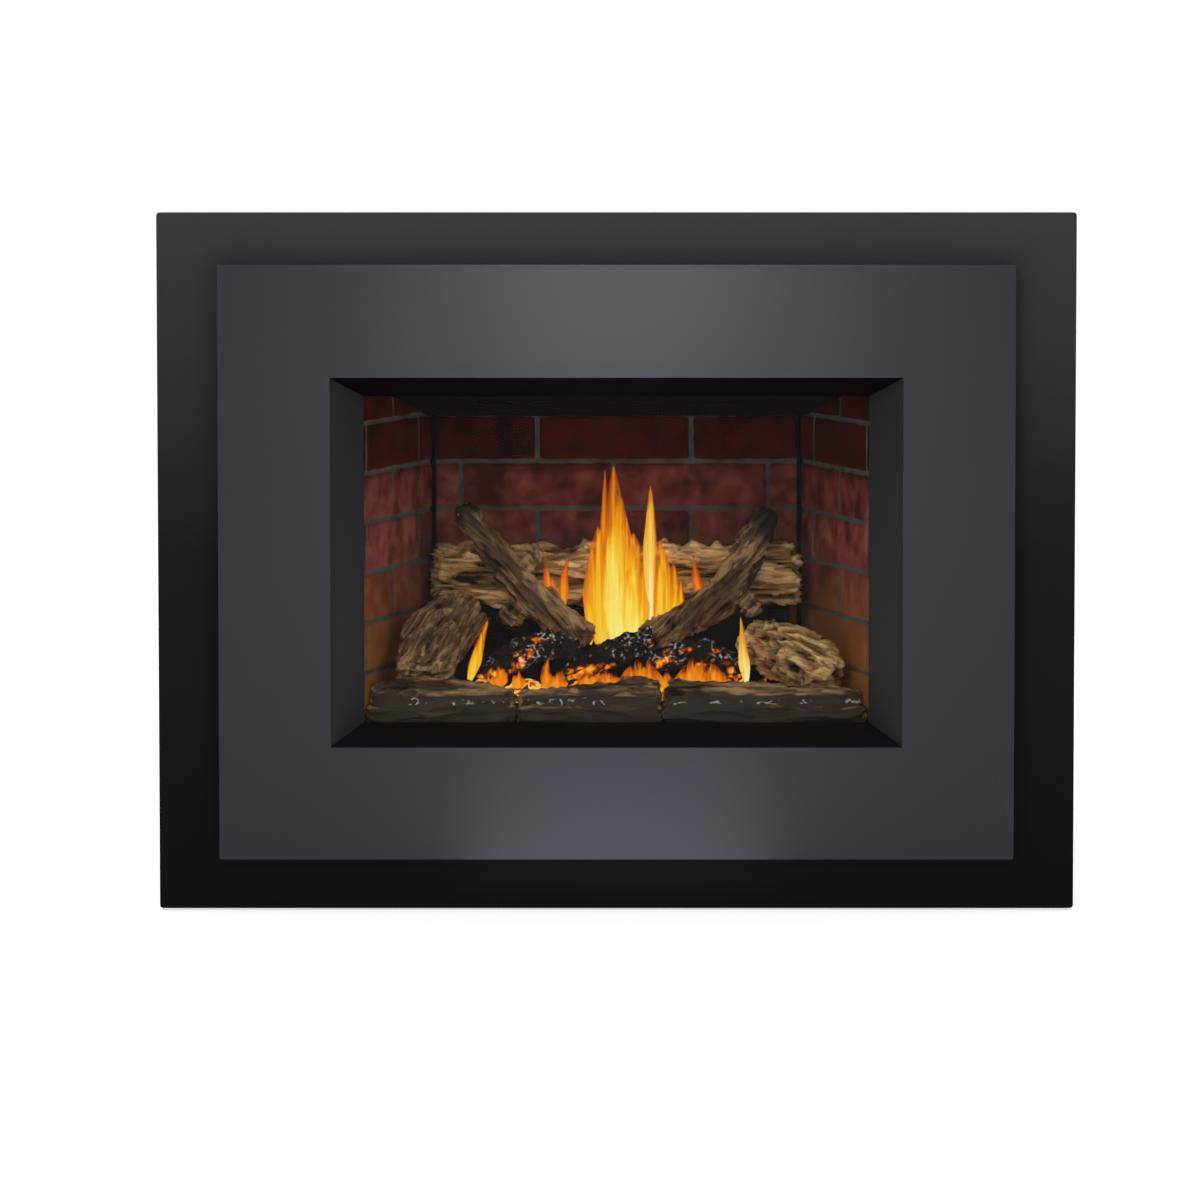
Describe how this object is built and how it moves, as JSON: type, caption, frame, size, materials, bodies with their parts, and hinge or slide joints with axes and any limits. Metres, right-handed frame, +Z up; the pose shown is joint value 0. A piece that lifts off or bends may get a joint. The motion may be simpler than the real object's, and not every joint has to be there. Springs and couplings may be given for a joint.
{
  "type": "gas fireplace insert",
  "caption": "Wide direct-vent gas fireplace insert: flat dark surround, raised faceplate with a mitred bevel, glass front, brick-lined firebox, burner and ceramic log set.",
  "frame": {"origin": "middle of the insert's bounding box on the hearth floor, at the foot pads", "axes": "+Z up, the glass front faces -Y, +X to the right as seen from the room"},
  "size_m": [1.067, 0.4242, 0.814],
  "materials": {
    "black_powder_coat": "satin black powder coat",
    "charcoal_powder_coat": "satin charcoal metallic powder coat",
    "trim_black": "satin black paint",
    "heat_black": "matt heat-resistant black paint",
    "galvanised": "galvanised sheet",
    "stainless": "brushed stainless steel",
    "glass": "clear ceramic glass",
    "rope_gasket": "glass-fibre rope",
    "brick": "cast ceramic-fibre brick panel, red with grey mortar",
    "bark": "cast ceramic-fibre bark, brown",
    "char": "cast ceramic-fibre char, black with ash",
    "ember": "mineral-wool embers",
    "brass": "plain brass",
    "black_plastic": "moulded black plastic",
    "red_plastic": "moulded red plastic"
  },
  "bodies": {
    "insert_body": {"surround_backer": "black_powder_coat", "firebox_shell": "heat_black", "firebox_top": "heat_black", "brick_panel_back": "brick", "brick_panel_left": "brick", "brick_panel_right": "brick", "baffle": "heat_black", "casing_wrap": "galvanised", "casing_base": "galvanised", "casing_top": "galvanised", "exhaust_collar": "galvanised", "intake_collar": "galvanised", "levelling_foot_1": "stainless", "levelling_foot_2": "stainless", "levelling_foot_3": "stainless", "levelling_foot_4": "stainless", "firebox_stand": "galvanised", "burner_pan": "heat_black", "mixing_tube": "galvanised", "pilot_assembly": "stainless", "gas_valve": "stainless", "gas_supply_line": "brass", "manifold_tube": "brass", "control_bracket": "galvanised", "blower_housing": "galvanised", "blower_motor": "black_powder_coat", "log_shelf": "heat_black", "front_log_left": "bark", "front_log_centre": "char", "front_log_right": "bark", "left_branch": "bark", "right_branch": "bark", "rear_log": "bark", "left_side_log": "bark", "right_side_log": "bark", "ember_log_left": "char", "ember_log_right": "char", "ember_log_centre": "char", "ember_bed": "ember"},
    "front_panel": {"faceplate": "charcoal_powder_coat", "hanger_frame": "galvanised", "bevel_trim_top": "trim_black", "bevel_trim_bottom": "trim_black", "bevel_trim_left": "trim_black", "bevel_trim_right": "trim_black"},
    "glass_door": {"door_frame": "heat_black", "glass_pane": "glass", "glass_gasket": "rope_gasket"},
    "relief_flap_left": {"relief_flap_left": "galvanised"},
    "relief_flap_right": {"relief_flap_right": "galvanised"},
    "blower_rotor": {"blower_wheel": "galvanised"},
    "pilot_knob": {"pilot_knob": "black_plastic"},
    "flame_knob": {"flame_knob": "black_plastic"},
    "speed_knob": {"speed_knob": "black_plastic"},
    "igniter_button": {"igniter_button": "red_plastic"},
    "rocker_switch": {"rocker_switch": "red_plastic"},
    "shutoff_handle": {"shutoff_handle": "brass"},
    "air_shutter": {"air_shutter": "galvanised"},
    "door_latch_left": {"door_latch_left": "stainless"},
    "door_latch_right": {"door_latch_right": "stainless"}
  },
  "joints": [
    {"name": "front_panel_pull", "type": "slide", "parent": "insert_body", "child": "front_panel", "axis": [0, -1, 0], "range_m": [0, 0.4]},
    {"name": "glass_door_pull", "type": "slide", "parent": "insert_body", "child": "glass_door", "axis": [0, -1, 0], "range_m": [0, 0.2]},
    {"name": "relief_flap_left_hinge", "type": "hinge", "parent": "insert_body", "child": "relief_flap_left", "pos_m": [-0.17, -0.04755, 0.6362], "axis": [-1, 0, 0], "range_deg": [0, 20]},
    {"name": "relief_flap_right_hinge", "type": "hinge", "parent": "insert_body", "child": "relief_flap_right", "pos_m": [0.17, -0.04755, 0.6362], "axis": [-1, 0, 0], "range_deg": [0, 20]},
    {"name": "blower_spin", "type": "hinge", "parent": "insert_body", "child": "blower_rotor", "pos_m": [-0.01, 0.11815, 0.092], "axis": [1, 0, 0], "continuous": true},
    {"name": "pilot_knob_turn", "type": "hinge", "parent": "insert_body", "child": "pilot_knob", "pos_m": [0.126, -0.11985, 0.123], "axis": [0, -1, 0], "range_deg": [0, 180]},
    {"name": "flame_knob_turn", "type": "hinge", "parent": "insert_body", "child": "flame_knob", "pos_m": [0.178, -0.11985, 0.123], "axis": [0, -1, 0], "range_deg": [0, 120]},
    {"name": "speed_knob_turn", "type": "hinge", "parent": "insert_body", "child": "speed_knob", "pos_m": [-0.2, -0.11985, 0.123], "axis": [0, -1, 0], "range_deg": [0, 270]},
    {"name": "igniter_press", "type": "slide", "parent": "insert_body", "child": "igniter_button", "axis": [0, 1, 0], "range_m": [0, 0.004], "stiffness_N_per_m": 1500, "springref_m": -0.002},
    {"name": "rocker_tip", "type": "hinge", "parent": "insert_body", "child": "rocker_switch", "pos_m": [-0.13, -0.11785, 0.123], "axis": [0, 0, -1], "range_deg": [0, 12]},
    {"name": "shutoff_turn", "type": "hinge", "parent": "insert_body", "child": "shutoff_handle", "pos_m": [0.296, -0.10585, 0.086], "axis": [0, 0, 1], "range_deg": [0, 90]},
    {"name": "air_shutter_turn", "type": "hinge", "parent": "insert_body", "child": "air_shutter", "pos_m": [0, -0.00615, 0.16], "axis": [0, 0, 1], "range_deg": [0, 40]},
    {"name": "door_latch_left_turn", "type": "hinge", "parent": "insert_body", "child": "door_latch_left", "pos_m": [-0.262, -0.14035, 0.6383], "axis": [0, 1, 0], "range_deg": [0, 55]},
    {"name": "door_latch_right_turn", "type": "hinge", "parent": "insert_body", "child": "door_latch_right", "pos_m": [0.262, -0.14035, 0.6383], "axis": [0, -1, 0], "range_deg": [0, 55]}
  ],
  "couplings": [
    {"joint": "glass_door_pull", "follows": "front_panel_pull", "ratio": 0.5}
  ]
}
